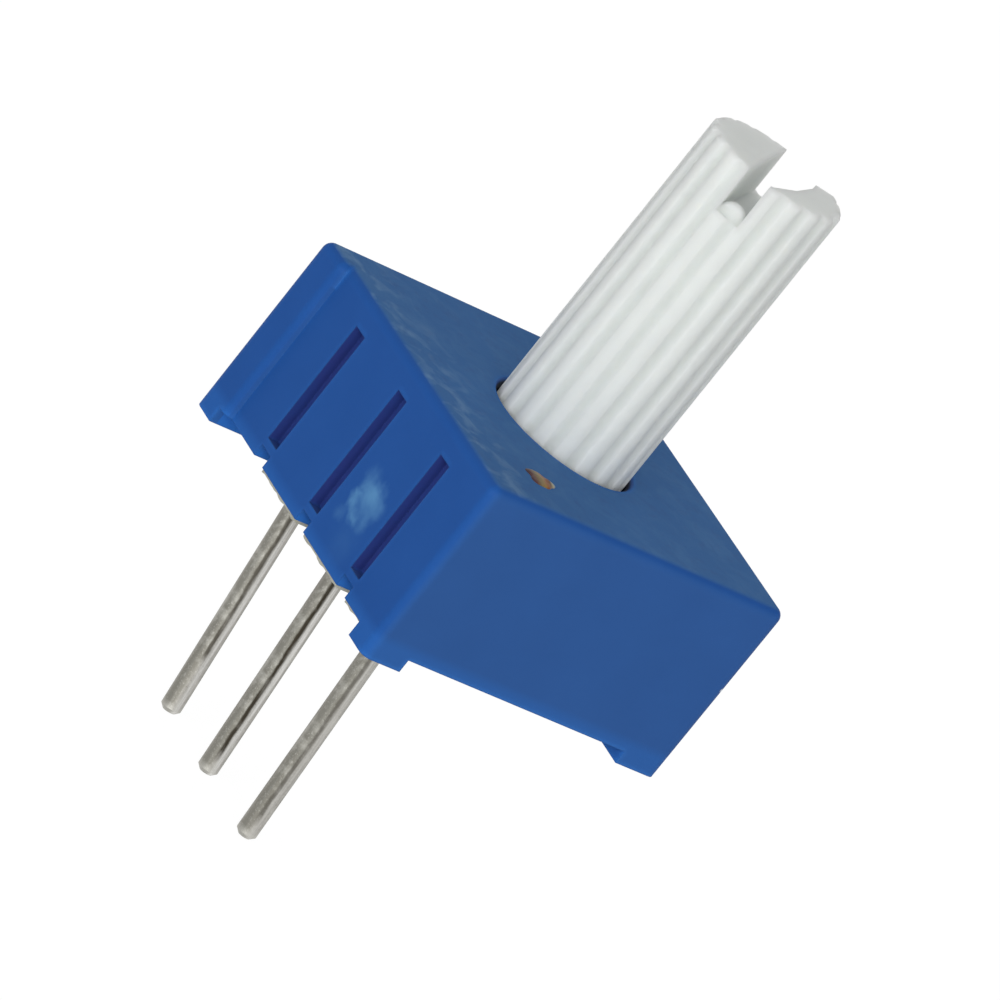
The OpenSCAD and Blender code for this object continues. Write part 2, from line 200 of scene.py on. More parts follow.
def shareOfEdgeHighlight(tree, look, axes, geometry, belowTop, inRow):
    # painted highlight: the edges, where the rounded normal leaves the face's own, get a paler
    # blue
    rounded = addNode(tree, "ShaderNodeBevel", {"samples": 4}, {"Radius": look["edgeHighlightWidth"] * mm})
    flatness = addNode(tree, "ShaderNodeVectorMath", {"operation": "DOT_PRODUCT"}, {
        0: rounded.outputs[0], 1: geometry.outputs["True Normal"]})
    onEdge = addNode(tree, "ShaderNodeMapRange", inputs={
        0: flatness.outputs["Value"], 1: 0.995, 2: 0.86, 3: 0.0, 4: look["edgeHighlightShare"]})
    # the grooves' edges are sharp and get little of the painted highlight
    atFace = addNode(tree, "ShaderNodeMath", {"operation": "COMPARE"}, {
        0: axes.outputs[0], 1: panelX, 2: 0.1 * mm})
    calm = belowTop
    for limit in (inRow, atFace):
        calm = addNode(tree, "ShaderNodeMath", {"operation": "MULTIPLY"}, {
            0: calm.outputs[0], 1: limit.outputs[0]})
    kept = addNode(tree, "ShaderNodeMath", {"operation": "MULTIPLY_ADD"}, {
        0: calm.outputs[0], 1: -look["calmShare"], 2: 1.0})
    return addNode(tree, "ShaderNodeMath", {"operation": "MULTIPLY"}, {
        0: onEdge.outputs[0], 1: kept.outputs[0]})


def shareOfDustAndSheen(tree, look, normalAxes):
    # greyer on the plain side facing -Y, away from the band: some dust and painted sheen
    return addNode(tree, "ShaderNodeMapRange", inputs={
        0: normalAxes.outputs[1], 1: -0.7, 2: -0.99, 3: 0.0, 4: look["nearDustAndSheen"]})


def shareOfScuff(tree, look, place, axes):
    # the scuff on the panel: soft pale patches with ragged outlines
    warp = addNode(tree, "ShaderNodeTexNoise", inputs={
        "Vector": place, "Scale": 1 / (look["scuffRagged"] * mm), "Detail": 2.0,
        "Roughness": 0.5})
    reach = look["scuffWarp"] * mm
    warped = addNode(tree, "ShaderNodeVectorMath", {"operation": "MULTIPLY_ADD"}, {
        0: warp.outputs["Color"], 1: (0, reach, reach), 2: place})
    scuffed = None
    for alongY, up, radius, strength in look["scuffs"]:
        middle = (panelX, alongY * mm + reach / 2, up * mm + reach / 2)
        away = addNode(tree, "ShaderNodeVectorMath", {"operation": "DISTANCE"}, {
            0: warped.outputs[0], 1: middle})
        patch = addNode(tree, "ShaderNodeMapRange", {"interpolation_type": "SMOOTHSTEP"}, {
            0: away.outputs["Value"], 1: 0.0, 2: radius * look["scuffSpread"] * mm,
            3: strength, 4: 0.0})
        scuffed = patch if scuffed is None else addNode(
            tree, "ShaderNodeMath", {"operation": "ADD"}, {
                0: scuffed.outputs[0], 1: patch.outputs[0]})
    scuffed = addNode(tree, "ShaderNodeMapRange", inputs={
        0: scuffed.outputs[0], 1: 0.0, 2: 0.95, 3: 0.0, 4: 0.68})
    onPanel = addNode(tree, "ShaderNodeMapRange", inputs={
        0: axes.outputs[0], 1: panelX + 0.02 * mm, 2: panelX, 3: 0.0, 4: 1.0})
    return addNode(tree, "ShaderNodeMath", {"operation": "MULTIPLY"}, {
        0: scuffed.outputs[0], 1: onPanel.outputs[0]})


def shareOfNick(tree, look, place):
    # a pale nick on one upright edge
    toNick = addNode(tree, "ShaderNodeVectorMath", {"operation": "DISTANCE"}, {
        0: place, 1: Vector(look["nickAt"]) * mm})
    return addNode(tree, "ShaderNodeMapRange", inputs={
        0: toNick.outputs["Value"], 1: look["nickSize"] * mm,
        2: 0.5 * look["nickSize"] * mm, 3: 0.0, 4: 0.85})


def shareOfRimLight(tree, look, axes):
    # painted light: the low rims and notches are paler, lifting the shade that falls on them
    rimTop, rimPalest = look["rimHeights"]
    lowRim = addNode(tree, "ShaderNodeMapRange", inputs={
        0: axes.outputs[2], 1: rimTop * mm, 2: rimPalest * mm, 3: 0.0, 4: look["rimLightShare"]})
    inNotch = addNode(tree, "ShaderNodeMath", {"operation": "COMPARE"}, {
        0: axes.outputs[0], 1: panelX + look["notchDepth"] * mm, 2: 0.6 * mm})
    alongRow = addNode(tree, "ShaderNodeMath", {"operation": "COMPARE"}, {
        0: axes.outputs[1], 1: 0.1 * mm, 2: look["rowHalf"] * mm})
    notched = addNode(tree, "ShaderNodeMath", {"operation": "MULTIPLY"}, {
        0: inNotch.outputs[0], 1: alongRow.outputs[0]})
    paler = addNode(tree, "ShaderNodeMath", {"operation": "MULTIPLY_ADD"}, {
        0: notched.outputs[0], 1: look["notchLightGain"], 2: 1.0})
    return addNode(tree, "ShaderNodeMath", {"operation": "MULTIPLY"}, {
        0: lowRim.outputs[0], 1: paler.outputs[0]})


def shareOfGrooveDirt(tree, look, axes, belowTop, inRow):
    # dirt in the grooves: everything on the lead side that lies behind the panel's face
    behindFace = addNode(tree, "ShaderNodeMapRange", inputs={
        0: axes.outputs[0], 1: panelX + 0.005 * mm, 2: panelX + 0.03 * mm, 3: 0.0, 4: 1.0})
    shallow = addNode(tree, "ShaderNodeMapRange", inputs={
        0: axes.outputs[0], 1: panelX + (look["grooveDepth"] + 0.05) * mm,
        2: panelX + look["grooveDepth"] * mm, 3: 0.0, 4: 1.0})
    aboveRims = addNode(tree, "ShaderNodeMapRange", inputs={
        0: axes.outputs[2], 1: look["rimHeights"][0] * mm, 2: look["grooveFoot"] * mm,
        3: 0.0, 4: 1.0})
    share = behindFace
    for limit in (shallow, belowTop, aboveRims, inRow):
        share = addNode(tree, "ShaderNodeMath", {"operation": "MULTIPLY"}, {
            0: share.outputs[0], 1: limit.outputs[0]})
    return share


def shareOfBoreShade(tree, look, axes):
    # painted shade: near black in the gap round the shaft
    flat = addNode(tree, "ShaderNodeCombineXYZ", inputs={0: axes.outputs[0], 1: axes.outputs[1]})
    fromAxis = addNode(tree, "ShaderNodeVectorMath", {"operation": "LENGTH"}, {0: flat.outputs[0]})
    nearAxis = addNode(tree, "ShaderNodeMapRange", inputs={
        0: fromAxis.outputs["Value"], 1: (look["boreMouth"] + 0.05) * mm,
        2: look["boreMouth"] * mm, 3: 0.0, 4: 1.0})
    sunk = addNode(tree, "ShaderNodeMapRange", inputs={
        0: axes.outputs[2], 1: topZ - 0.03 * mm, 2: topZ - 0.08 * mm, 3: 0.0, 4: 0.95})
    return addNode(tree, "ShaderNodeMath", {"operation": "MULTIPLY"}, {
        0: nearAxis.outputs[0], 1: sunk.outputs[0]})


def makeHousingMaterial(look):
    material, tree, shader, place = newMaterial("mouldedBlueThermoset", {
        "IOR": 1.52, "Specular IOR Level": look["specular"]})
    axes = addNode(tree, "ShaderNodeSeparateXYZ", inputs={0: place})
    geometry = addNode(tree, "ShaderNodeNewGeometry")
    normalAxes = addNode(tree, "ShaderNodeSeparateXYZ", inputs={0: geometry.outputs["Normal"]})
    isTop = addNode(tree, "ShaderNodeMapRange", inputs={
        0: normalAxes.outputs[2], 1: 0.85, 2: 0.995, 3: 0.0, 4: 0.85})
    belowTop = addNode(tree, "ShaderNodeMapRange", inputs={
        0: axes.outputs[2], 1: topZ - look["grooveTop"] * mm,
        2: topZ - (look["grooveTop"] + 0.06) * mm, 3: 0.0, 4: 1.0})
    inRow = addNode(tree, "ShaderNodeMath", {"operation": "COMPARE"}, {
        0: axes.outputs[1], 1: 0.0, 2: look["rowHalf"] * mm})

    mottle = addNode(tree, "ShaderNodeTexNoise", inputs={
        "Vector": place, "Scale": 1 / (look["mottle"] * mm), "Detail": 3.0, "Roughness": 0.55})
    blue = addNode(tree, "ShaderNodeMix", {"data_type": "RGBA"}, {
        "Factor": mottle.outputs["Fac"], 6: linearColor(look["blue"]),
        7: linearColor(look["blueLight"])})
    rubbed = addNode(tree, "ShaderNodeTexNoise", inputs={
        "Vector": place, "Scale": 1 / (look["rub"] * mm), "Detail": 5.0, "Roughness": 0.65,
        "Distortion": 0.6})
    dirt = addNode(tree, "ShaderNodeMix", {"data_type": "RGBA"}, {
        "Factor": rubbed.outputs["Fac"], 6: linearColor(look["grooveDark"]),
        7: linearColor(look["groovePurple"])})

    # from the lowest layer up: how much of it shows, and its colour
    layers = (
        # painted sheen: the top's greyer blue
        (isTop, tonesOfTop(tree, look, place, rubbed).outputs[2]),
        (shareOfSmudges(tree, look, place, axes, isTop), linearColor(look["smudge"])),
        # painted highlight along the edges
        (shareOfEdgeHighlight(tree, look, axes, geometry, belowTop, inRow), linearColor(look["edge"])),
        # dust with painted sheen on the plain side
        (shareOfDustAndSheen(tree, look, normalAxes), linearColor(look["dustAndSheen"])),
        (shareOfScuff(tree, look, place, axes), linearColor(look["scuff"])),
        (shareOfNick(tree, look, place), linearColor(look["nick"])),
        # painted light on the low rims and in the notches
        (shareOfRimLight(tree, look, axes), linearColor(look["edge"])),
        (shareOfGrooveDirt(tree, look, axes, belowTop, inRow), dirt.outputs[2]),
        # painted shade in the gap round the shaft
        (shareOfBoreShade(tree, look, axes), linearColor(look["boreShade"])),
    )
    color = blue
    for share, tone in layers:
        color = addNode(tree, "ShaderNodeMix", {"data_type": "RGBA"}, {
            "Factor": share.outputs[0], 6: color.outputs[2], 7: tone})
    tree.links.new(color.outputs[2], shader.inputs["Base Color"])

    # the top is duller than the sides
    rough = addNode(tree, "ShaderNodeMapRange", inputs={
        0: isTop.outputs[0], 1: 0.0, 2: 0.85, 3: look["roughness"], 4: look["topRoughness"]})
    tree.links.new(rough.outputs[0], shader.inputs["Roughness"])

    grain = addNode(tree, "ShaderNodeTexNoise", inputs={
        "Vector": place, "Scale": 1 / (look["grain"] * mm), "Detail": 3.0, "Roughness": 0.6})
    relief = addNode(tree, "ShaderNodeMath", {"operation": "MULTIPLY_ADD"}, {
        0: mottle.outputs["Fac"], 1: 3.0, 2: grain.outputs["Fac"]})
    softEdge = addNode(tree, "ShaderNodeBevel", {"samples": 4}, {"Radius": look["softEdge"] * mm})
    bump = addNode(tree, "ShaderNodeBump", inputs={
        "Height": relief.outputs[0], "Strength": 0.25, "Distance": 0.01 * mm,
        "Normal": softEdge.outputs[0]})
    tree.links.new(bump.outputs[0], shader.inputs["Normal"])
    return material


# White polyester, injection moulded: slightly see-through, with a soft sheen.
shaftLook = {
    "white": "#e2e6e3",
    "shade": "#dadddb",
    "roughness": 0.6,
    "cloud": 0.8,  # mm across one cloud of tone
    "grain": 0.1,  # mm across the moulded grain, coarser than the real one so that it shows
    "lightReach": 0.8,  # mm that light travels in the plastic
    "softEdge": 0.24,  # mm
}


def makeShaftMaterial(look):
    material, tree, shader, place = newMaterial("mouldedWhitePolyester", {
        "Roughness": look["roughness"], "IOR": 1.55, "Specular IOR Level": 0.1,
        "Subsurface Weight": 1.0, "Subsurface Radius": (1.0, 0.97, 0.92),
        "Subsurface Scale": look["lightReach"] * mm})
    cloud = addNode(tree, "ShaderNodeTexNoise", inputs={
        "Vector": place, "Scale": 1 / (look["cloud"] * mm), "Detail": 4.0, "Roughness": 0.6})
    tone = addNode(tree, "ShaderNodeMix", {"data_type": "RGBA"}, {
        "Factor": cloud.outputs["Fac"], 6: linearColor(look["white"]),
        7: linearColor(look["shade"])})
    tree.links.new(tone.outputs[2], shader.inputs["Base Color"])
    grain = addNode(tree, "ShaderNodeTexNoise", inputs={
        "Vector": place, "Scale": 1 / (look["grain"] * mm), "Detail": 2.0, "Roughness": 0.6})
    softEdge = addNode(tree, "ShaderNodeBevel", {"samples": 4}, {"Radius": look["softEdge"] * mm})
    bump = addNode(tree, "ShaderNodeBump", inputs={
        "Height": grain.outputs["Fac"], "Strength": 0.3, "Distance": 0.01 * mm,
        "Normal": softEdge.outputs[0]})
    tree.links.new(bump.outputs[0], shader.inputs["Normal"])
    return material


# Copper wire, drawn and then hot tinned: dull silver, with fine streaks along the wire and
# small pits; the tones round the wire, the long dark line and the brighter flank beside it are
# painted reflections.
wireLook = {
    # painted reflections: the colours at fixed angles round the wire, with the bright flank as a
    # painted highlight
    "reflectionsAround": (  # degrees round the wire from +X, and the colour there
        (-180, "#8e8d86"), (-167, "#86857e"), (-150, "#83827b"), (-134, "#807f78"),
        (-116, "#a8a6a0"), (-106, "#dddcd8"), (-88, "#f1f0ed"), (-74, "#b7b5af"),
        (-50, "#8d8b84"), (20, "#b9b7b0"), (75, "#8b8982"), (130, "#aaa8a1"),
        (180, "#8f8d85")),
    "flat": "#b4b2ac",
    "fleck": "#dddbd4",
    "dark": "#37332b",
    "stain": "#6f6b62",
    "wire": 0.51,  # mm, the wire's diameter
    "lineAt": -121,  # degrees
    "highlightFlankAt": (-90, 28),  # degrees, the middle of the bright flank and half its width
    "lineWidth": 0.1,  # mm
    "roughness": 0.34,
    "streak": (0.06, 1.6),  # mm, across and along the wire
    "tin": "#c9c8c1",  # where the tin lies thicker, in patches and at the cut end
    "patch": 0.45,  # mm
    "tipLength": 0.3,  # mm
    "pit": 0.05,  # mm
    "wander": 0.625,  # mm along the wire between the line's bends
    "sway": 0.16,  # radians, how far the line wanders in all
    "unevenness": 0.3,  # radians, how far its sides do
    "blotch": (0.14, 0.7),  # mm, across and along the wire
    "fade": 0.35,  # mm, how far the line fades before its end
    # for each lead: how dark the painted reflection line is, where it ends in mm from the lead's
    # mount, and how much of the painted highlight on the flank shows
    "lines": {1: (0.85, -2.0, 0.9), 2: (1.0, -2.95, 1.0), 3: (0.65, -2.9, 0.3)},
}


def reflectionsRoundWire(tree, look, angle, gleam):
    # painted reflections: the colours round the wire, with only a share of the bright flank's
    # painted highlight
    turn = addNode(tree, "ShaderNodeMapRange", inputs={
        0: angle.outputs[0], 1: -math.pi, 2: math.pi})
    ring = addNode(tree, "ShaderNodeValToRGB", inputs={"Fac": turn.outputs[0]})
    setStops(ring, [((degrees + 180) / 360, tone) for degrees, tone in look["reflectionsAround"]])
    isFlank = addNode(tree, "ShaderNodeMath", {"operation": "COMPARE"}, {
        0: angle.outputs[0], 1: math.radians(look["highlightFlankAt"][0]),
        2: math.radians(look["highlightFlankAt"][1])})
    dulled = addNode(tree, "ShaderNodeMath", {"operation": "MULTIPLY"}, {
        0: isFlank.outputs[0], 1: 1 - gleam})
    return addNode(tree, "ShaderNodeMix", {"data_type": "RGBA"}, {
        "Factor": dulled.outputs[0], 6: ring.outputs[0], 7: linearColor(look["flat"])})


def shareOfTin(tree, look, along, axes, tip):
    # thicker tin, in patches and at the cut end
    patches = addNode(tree, "ShaderNodeTexNoise", inputs={
        "Vector": along.outputs[0], "Scale": 1 / look["patch"], "Detail": 3.0, "Roughness": 0.6})
    patched = addNode(tree, "ShaderNodeMapRange", inputs={
        0: patches.outputs["Fac"], 1: 0.5, 2: 0.68, 3: 0.0, 4: 0.4})
    atTip = addNode(tree, "ShaderNodeMapRange", inputs={
        0: axes.outputs[2], 1: tip + look["tipLength"], 2: tip + 0.5 * look["tipLength"],
        3: 0.0, 4: 0.45})
    return addNode(tree, "ShaderNodeMath", {"operation": "MAXIMUM"}, {
        0: patched.outputs[0], 1: atTip.outputs[0]})


def shareOfReflectionLine(tree, look, along, axes, angle, darkness, lineEnd):
    # painted reflection: the dark line wanders a little and fades out before the tip
    wander = addNode(tree, "ShaderNodeTexNoise", {"noise_dimensions": "1D"}, {
        "W": axes.outputs[2], "Scale": 1 / look["wander"], "Detail": 3.0})
    # long blotches along it make its sides uneven and its darkness ragged
    blotchWide, blotchLong = look["blotch"]
    drawn = addNode(tree, "ShaderNodeMapping", inputs={
        0: along.outputs[0], "Scale": (1 / blotchWide, 1 / blotchWide, 1 / blotchLong)})
    blotches = addNode(tree, "ShaderNodeTexNoise", inputs={
        "Vector": drawn.outputs[0], "Scale": 1.0, "Detail": 4.0, "Roughness": 0.6})
    offLine = addNode(tree, "ShaderNodeMath", {"operation": "SUBTRACT"}, {
        0: angle.outputs[0], 1: math.radians(look["lineAt"])})
    for pattern, sway in ((wander, look["sway"]), (blotches, look["unevenness"])):
        shift = addNode(tree, "ShaderNodeMath", {"operation": "MULTIPLY_ADD"}, {
            0: pattern.outputs["Fac"], 1: sway, 2: -sway / 2})
        offLine = addNode(tree, "ShaderNodeMath", {"operation": "ADD"}, {
            0: offLine.outputs[0], 1: shift.outputs[0]})
    offLine = addNode(tree, "ShaderNodeMath", {"operation": "ABSOLUTE"}, {0: offLine.outputs[0]})
    halfTurn = look["lineWidth"] / look["wire"]  # radians
    share = addNode(tree, "ShaderNodeMapRange", {"interpolation_type": "SMOOTHSTEP"}, {
        0: offLine.outputs[0], 1: halfTurn * 0.4, 2: halfTurn * 1.5, 3: darkness, 4: 0.0})
    fade = addNode(tree, "ShaderNodeMapRange", inputs={
        0: axes.outputs[2], 1: lineEnd, 2: lineEnd + look["fade"]})
    ragged = addNode(tree, "ShaderNodeMapRange", inputs={
        0: blotches.outputs["Fac"], 1: 0.34, 2: 0.5, 3: 0.7, 4: 1.0})
    for limit in (fade, ragged):
        share = addNode(tree, "ShaderNodeMath", {"operation": "MULTIPLY"}, {
            0: share.outputs[0], 1: limit.outputs[0]})
    return share


def makeWireMaterial(look, number):
    material, tree, shader, place = newMaterial(f"tinnedCopperWire{number}", {
        "Metallic": 1.0, "Roughness": look["roughness"]})
    darkness, lineEnd, gleam = look["lines"][number]
    pin = next(m for m in frame["record"]["mounts"] if m["name"] == f"lead_{number}_pin")
    tip = (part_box(f"lead_{number}")[0][2] - pin["pos_m"][2]) / -pin["axis"][2] / mm
    upright = Vector((0, 0, 1)).rotation_difference(-Vector(pin["axis"])).inverted()
    # the pattern's own axes, in mm: z runs up the wire from its mount
    along = addNode(tree, "ShaderNodeMapping", inputs={
        "Vector": place, "Location": upright @ (-Vector(pin["pos_m"]) / mm),
        "Rotation": upright.to_euler("XYZ"), "Scale": (1 / mm, 1 / mm, 1 / mm)})
    axes = addNode(tree, "ShaderNodeSeparateXYZ", inputs={0: along.outputs[0]})
    angle = addNode(tree, "ShaderNodeMath", {"operation": "ARCTAN2"}, {
        0: axes.outputs[1], 1: axes.outputs[0]})

    streakWide, streakLong = look["streak"]
    stretched = addNode(tree, "ShaderNodeMapping", inputs={
        0: along.outputs[0], "Scale": (1 / streakWide, 1 / streakWide, 1 / streakLong)})
    streak = addNode(tree, "ShaderNodeTexNoise", inputs={
        "Vector": stretched.outputs[0], "Scale": 1.0, "Detail": 5.0, "Roughness": 0.65})
    streaky = addNode(tree, "ShaderNodeMapRange", inputs={
        0: streak.outputs["Fac"], 1: 0.3, 2: 0.7, 3: 0.5, 4: 0.0})
    pits = addNode(tree, "ShaderNodeTexNoise", inputs={
        "Vector": along.outputs[0], "Scale": 1 / look["pit"], "Detail": 3.0, "Roughness": 0.7})
    pitted = addNode(tree, "ShaderNodeMapRange", inputs={
        0: pits.outputs["Fac"], 1: 0.58, 2: 0.75, 3: 0.0, 4: 0.55})
    flecked = addNode(tree, "ShaderNodeMapRange", inputs={
        0: pits.outputs["Fac"], 1: 0.44, 2: 0.3, 3: 0.0, 4: 0.3})

    # from the lowest layer up: how much of it shows, and its colour
    layers = (
        (streaky, look["stain"]),
        (pitted, look["stain"]),
        (flecked, look["fleck"]),
        (shareOfTin(tree, look, along, axes, tip), look["tin"]),
        # painted reflection: the dark line along the wire
        (shareOfReflectionLine(tree, look, along, axes, angle, darkness, lineEnd), look["dark"]),
    )
    # painted reflections round the wire, with the painted highlight on its flank
    color = reflectionsRoundWire(tree, look, angle, gleam)
    for share, tone in layers:
        color = addNode(tree, "ShaderNodeMix", {"data_type": "RGBA"}, {
            "Factor": share.outputs[0], 6: color.outputs[2], 7: linearColor(tone)})
    tree.links.new(color.outputs[2], shader.inputs["Base Color"])

    rough = addNode(tree, "ShaderNodeMapRange", inputs={
        0: streak.outputs["Fac"], 1: 0.3, 2: 0.7, 3: look["roughness"] + 0.15,
        4: look["roughness"]})
    tree.links.new(rough.outputs[0], shader.inputs["Roughness"])
    bump = addNode(tree, "ShaderNodeBump", inputs={
        "Height": streak.outputs["Fac"], "Strength": 0.35, "Distance": 0.01 * mm})
    tree.links.new(bump.outputs[0], shader.inputs["Normal"])
    return material


# Epoxy resin, poured and cured: beige, glossy, with fine cloudiness.
resinLook = {
    "beige": "#b4b5a8",
    "brown": "#989481",
    "roughness": 0.28,
    "cloud": 0.5,  # mm across one cloud of tone
}


def makeResinMaterial(look):
    material, tree, shader, place = newMaterial("curedEpoxy", {
        "Roughness": look["roughness"], "IOR": 1.55})
    cloud = addNode(tree, "ShaderNodeTexNoise", inputs={
        "Vector": place, "Scale": 1 / (look["cloud"] * mm), "Detail": 3.0})
    tone = addNode(tree, "ShaderNodeMix", {"data_type": "RGBA"}, {
        "Factor": cloud.outputs["Fac"], 6: linearColor(look["beige"]),
        7: linearColor(look["brown"])})
    tree.links.new(tone.outputs[2], shader.inputs["Base Color"])
    bump = addNode(tree, "ShaderNodeBump", inputs={
        "Height": cloud.outputs["Fac"], "Strength": 0.4, "Distance": 0.05 * mm})
    tree.links.new(bump.outputs[0], shader.inputs["Normal"])
    return material


# The inner pieces, each in two tones of its own fine grain (mm across): chalky white
# ceramic, sooty glassy film, dull silver print, yellow polished spring, matt black
# rubber and bright soft solder.
innerLooks = {
    "firedAlumina": {
        "light": "#eeece4", "dark": "#d9d5c8", "metallic": 0.0, "roughness": 0.6, "grain": 0.08},
    "cermetFilm": {
        "light": "#3a3633", "dark": "#1d1b1a", "metallic": 0.0, "roughness": 0.45, "grain": 0.05},
    "silverFilm": {
        "light": "#c9c7bf", "dark": "#a19e94", "metallic": 1.0, "roughness": 0.5, "grain": 0.05},
    "springBrass": {
        "light": "#d9bd7a", "dark": "#b8954c", "metallic": 1.0, "roughness": 0.28, "grain": 0.3},
    "mouldedNitrile": {
        "light": "#232323", "dark": "#111111", "metallic": 0.0, "roughness": 0.55, "grain": 0.1},
    "reflowedSolder": {
        "light": "#d2d1cc", "dark": "#a9a8a2", "metallic": 1.0, "roughness": 0.25, "grain": 0.15},
}


def makeInnerMaterial(name, look):
    material, tree, shader, place = newMaterial(name, {
        "Metallic": look["metallic"], "Roughness": look["roughness"]})
    grain = addNode(tree, "ShaderNodeTexNoise", inputs={
        "Vector": place, "Scale": 1 / (look["grain"] * mm), "Detail": 4.0, "Roughness": 0.6})
    tone = addNode(tree, "ShaderNodeMix", {"data_type": "RGBA"}, {
        "Factor": grain.outputs["Fac"], 6: linearColor(look["light"]),
        7: linearColor(look["dark"])})
    tree.links.new(tone.outputs[2], shader.inputs["Base Color"])
    bump = addNode(tree, "ShaderNodeBump", inputs={
        "Height": grain.outputs["Fac"], "Strength": 0.3, "Distance": 0.01 * mm})
    tree.links.new(bump.outputs[0], shader.inputs["Normal"])
    return material


dress("housing", makeHousingMaterial(housingLook))
dress("rotor_shaft", makeShaftMaterial(shaftLook))
for number in wireLook["lines"]:
    dress(f"lead_{number}", makeWireMaterial(wireLook, number))
resinMaterial = makeResinMaterial(resinLook)
dress("potting", resinMaterial)
innerMaterials = {name: makeInnerMaterial(name, look) for name, look in innerLooks.items()}
innerFinish = {
    "ceramic_plate": "firedAlumina",
    "resistive_track": "cermetFilm",
    "collector_film": "silverFilm",
    "end_film_1": "silverFilm",
    "end_film_3": "silverFilm",
    "wiper_spring": "springBrass",
    "seal_ring": "mouldedNitrile",
    "solder_1": "reflowedSolder",
    "solder_2": "reflowedSolder",
    "solder_3": "reflowedSolder",
}
for nodeName, finish in innerFinish.items():
    dress(nodeName, innerMaterials[finish])
print("materials made")


def addPiece(name, shape, material, body):
    # the finished mesh as an object that rides on a body, its place already in its mesh
    mesh = bpy.data.meshes.new(name)
    bmesh.ops.recalc_face_normals(shape, faces=shape.faces)
    for face in shape.faces:
        face.smooth = True
    shape.to_mesh(mesh)
    shape.free()
    mesh.materials.append(material)
    piece = bpy.data.objects.new(name, mesh)
    bpy.context.scene.collection.objects.link(piece)
    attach(piece, body)
    return piece


# A fleck of flux on the top face: hard amber rosin, dark at one end and pale at the other.
fleckLook = {
    "at": (-2.52, -3.06),  # mm
    "size": (0.38, 0.3, 0.07),  # mm, half sizes
    "turn": -15,  # degrees
    "lobes": ((3, 0.13, 0.8), (5, 0.08, 0.0)),  # how many, how far out, radians of turn
    "lumps": 0.3,  # how far they raise or sink it, as a share of its height
    "cloud": 0.12,  # mm across one cloud of tone
    "tones": ((0.0, "#33282f"), (0.2, "#4f2a26"), (0.34, "#776846"), (0.5, "#8a6c38"),
              (0.64, "#824612"), (0.8, "#5c3a1a"), (0.92, "#a89f7d"), (1.0, "#869292")),
}


def makeFleck(look):
    material, tree, shader, place = newMaterial("hardenedRosin", {
        "Roughness": 0.4, "IOR": 1.54, "Specular IOR Level": 0.25})
    axes = addNode(tree, "ShaderNodeSeparateXYZ", inputs={0: place})
    cloud = addNode(tree, "ShaderNodeTexNoise", inputs={
        "Vector": place, "Scale": 1 / (look["cloud"] * mm), "Detail": 3.0})
    along = addNode(tree, "ShaderNodeMath", {"operation": "MULTIPLY_ADD"}, {
        0: cloud.outputs["Fac"], 1: look["cloud"] * mm, 2: axes.outputs[0]})
    middle = (look["at"][0] + look["cloud"] / 2) * mm
    halfLength = look["size"][0] * mm
    share = addNode(tree, "ShaderNodeMapRange", inputs={
        0: along.outputs[0], 1: middle - halfLength, 2: middle + halfLength})
    ramp = addNode(tree, "ShaderNodeValToRGB", inputs={"Fac": share.outputs[0]})
    setStops(ramp, look["tones"])
    tree.links.new(ramp.outputs[0], shader.inputs["Base Color"])

    shape = bmesh.new()
    bmesh.ops.create_uvsphere(shape, u_segments=40, v_segments=20, radius=1.0)
    for vert in shape.verts:
        bearing = math.atan2(vert.co.y, vert.co.x)
        vert.co.xy *= sum((out * math.sin(count * bearing + turn)
                           for count, out, turn in look["lobes"]), 1)
        vert.co.z *= 1 + look["lumps"] * noise.noise(vert.co * 2)
    bmesh.ops.scale(shape, vec=Vector(look["size"]) * mm, verts=shape.verts)
    turned = Matrix.Rotation(math.radians(look["turn"]), 3, "Z")
    bmesh.ops.rotate(shape, cent=(0, 0, 0), matrix=turned, verts=shape.verts)
    acrossX, acrossY = look["at"]
    bmesh.ops.translate(shape, vec=(acrossX * mm, acrossY * mm, topZ), verts=shape.verts)
    addPiece("flux_fleck", shape, material, "base")


# Resin that crept out below the lead-side wall: a thin, ragged, pale fringe.
fringeLook = {
    "stretches": ((0.13, 2.0), (-2.3, -0.45), (-3.62, -2.88)),  # mm, along Y
    "low": 0.335,  # mm above the board
    "high": 0.41,
    "depth": 0.5,  # mm, along X
    "behind": 0.03,  # mm behind the panel's face
    "ragged": 0.045,  # mm
    "waves": 4.5,  # waves of the ragged edge in each mm
    "sideways": 0.6,  # of the raggedness, along X
    "step": 0.05,  # mm between the points of the ragged edge
}


def makeFringe(look, material):
    shape = bmesh.new()
    middleZ = (look["low"] + look["high"]) / 2 * mm
    middleX = panelX + (look["behind"] + look["depth"] / 2) * mm
    for start, end in look["stretches"]:
        made = bmesh.ops.create_cube(shape, size=1.0)["verts"]
        bmesh.ops.scale(shape, verts=made, vec=(
            look["depth"] * mm, (end - start) * mm, (look["high"] - look["low"]) * mm))
        bmesh.ops.translate(shape, verts=made, vec=(middleX, (start + end) / 2 * mm, middleZ))
        long = [edge for edge in shape.edges if edge.verts[0] in made
                and abs(edge.verts[0].co.y - edge.verts[1].co.y) > 0.1 * mm]
        bmesh.ops.subdivide_edges(shape, edges=long, cuts=int((end - start) / look["step"]),
                                  use_grid_fill=True)
    for vert in shape.verts:
        wobble = noise.noise(vert.co * (look["waves"] / mm)) * look["ragged"] * mm
        if vert.co.z < middleZ:
            vert.co.z += wobble
        vert.co.x += look["sideways"] * wobble
    addPiece("resin_fringe", shape, material, "base")


makeFleck(fleckLook)
makeFringe(fringeLook, resinMaterial)
print("small pieces made")


